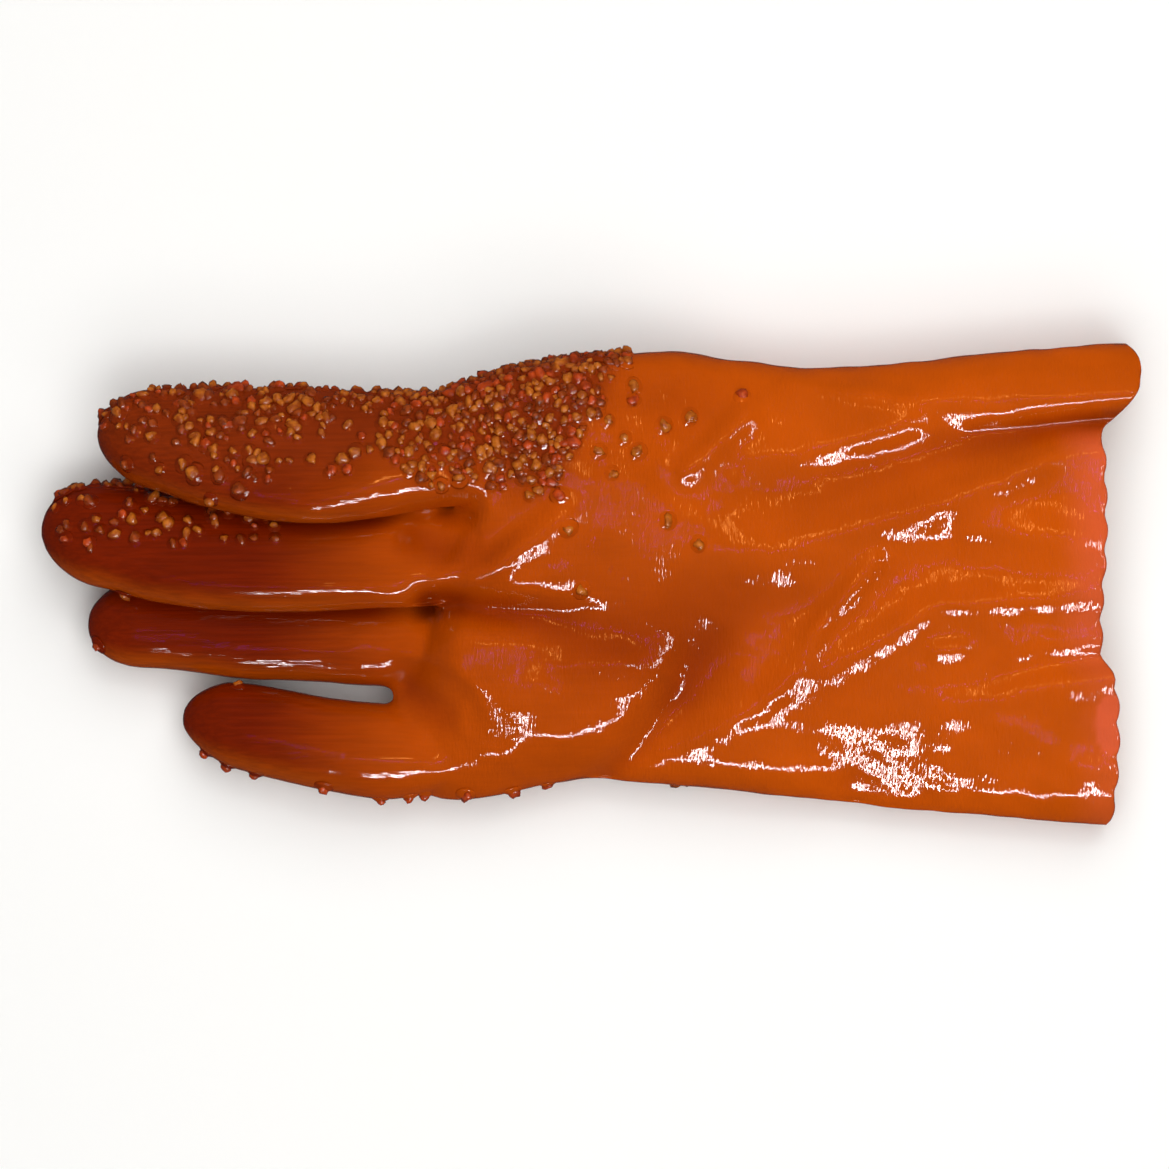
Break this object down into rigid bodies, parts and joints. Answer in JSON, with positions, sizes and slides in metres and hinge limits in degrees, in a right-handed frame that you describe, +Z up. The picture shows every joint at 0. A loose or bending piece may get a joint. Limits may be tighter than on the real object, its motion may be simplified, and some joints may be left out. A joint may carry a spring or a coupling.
{
  "type": "household rubber glove",
  "caption": "Long-cuffed work glove for the left hand, dipped in glossy orange film, lying back up with its fingers overlapped and the thumb folded under the palm.",
  "frame": {"origin": "centre of the glove's outline from above, on the table", "axes": "+X from the fingertips to the cuff, +Y to the thumb side, +Z up from the table, with the back of the glove up"},
  "size_m": [0.2998, 0.1324, 0.0395],
  "materials": {
    "film": "glossy dipped PVC film",
    "grip": "crumbs of PVC under the film",
    "liner": "brushed cotton knit bonded to the inside"
  },
  "bodies": {
    "root": {"glove_shell": "film"}
  },
  "joints": []
}
